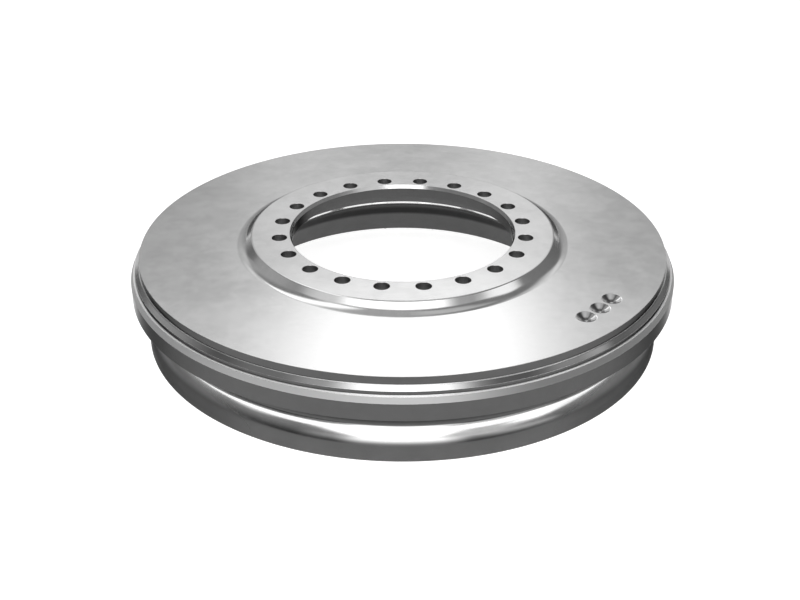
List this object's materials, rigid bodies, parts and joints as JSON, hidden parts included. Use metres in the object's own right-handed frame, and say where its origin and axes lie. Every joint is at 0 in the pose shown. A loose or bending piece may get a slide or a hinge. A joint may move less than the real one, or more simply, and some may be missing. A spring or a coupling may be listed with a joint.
{
  "type": "torque converter turbine",
  "caption": "Cast aluminium turbine wheel of a torque converter, with a bolting flange round its bore, a stepped rim and a vaned flow passage underneath.",
  "frame": {"origin": "on the axis, in the plane of the shell's lower lip that the part stands on", "axes": "+Z along the axis, from the flow side to the bolting face; +X and +Y pass midway between two bolt holes"},
  "size_m": [0.3952, 0.3952, 0.0726],
  "materials": {
    "cast_aluminium": "turned bright on the back, rim and bore, bead-blasted in the flow passage"
  },
  "bodies": {
    "root": {"turbine_casting": "cast_aluminium"}
  },
  "joints": []
}
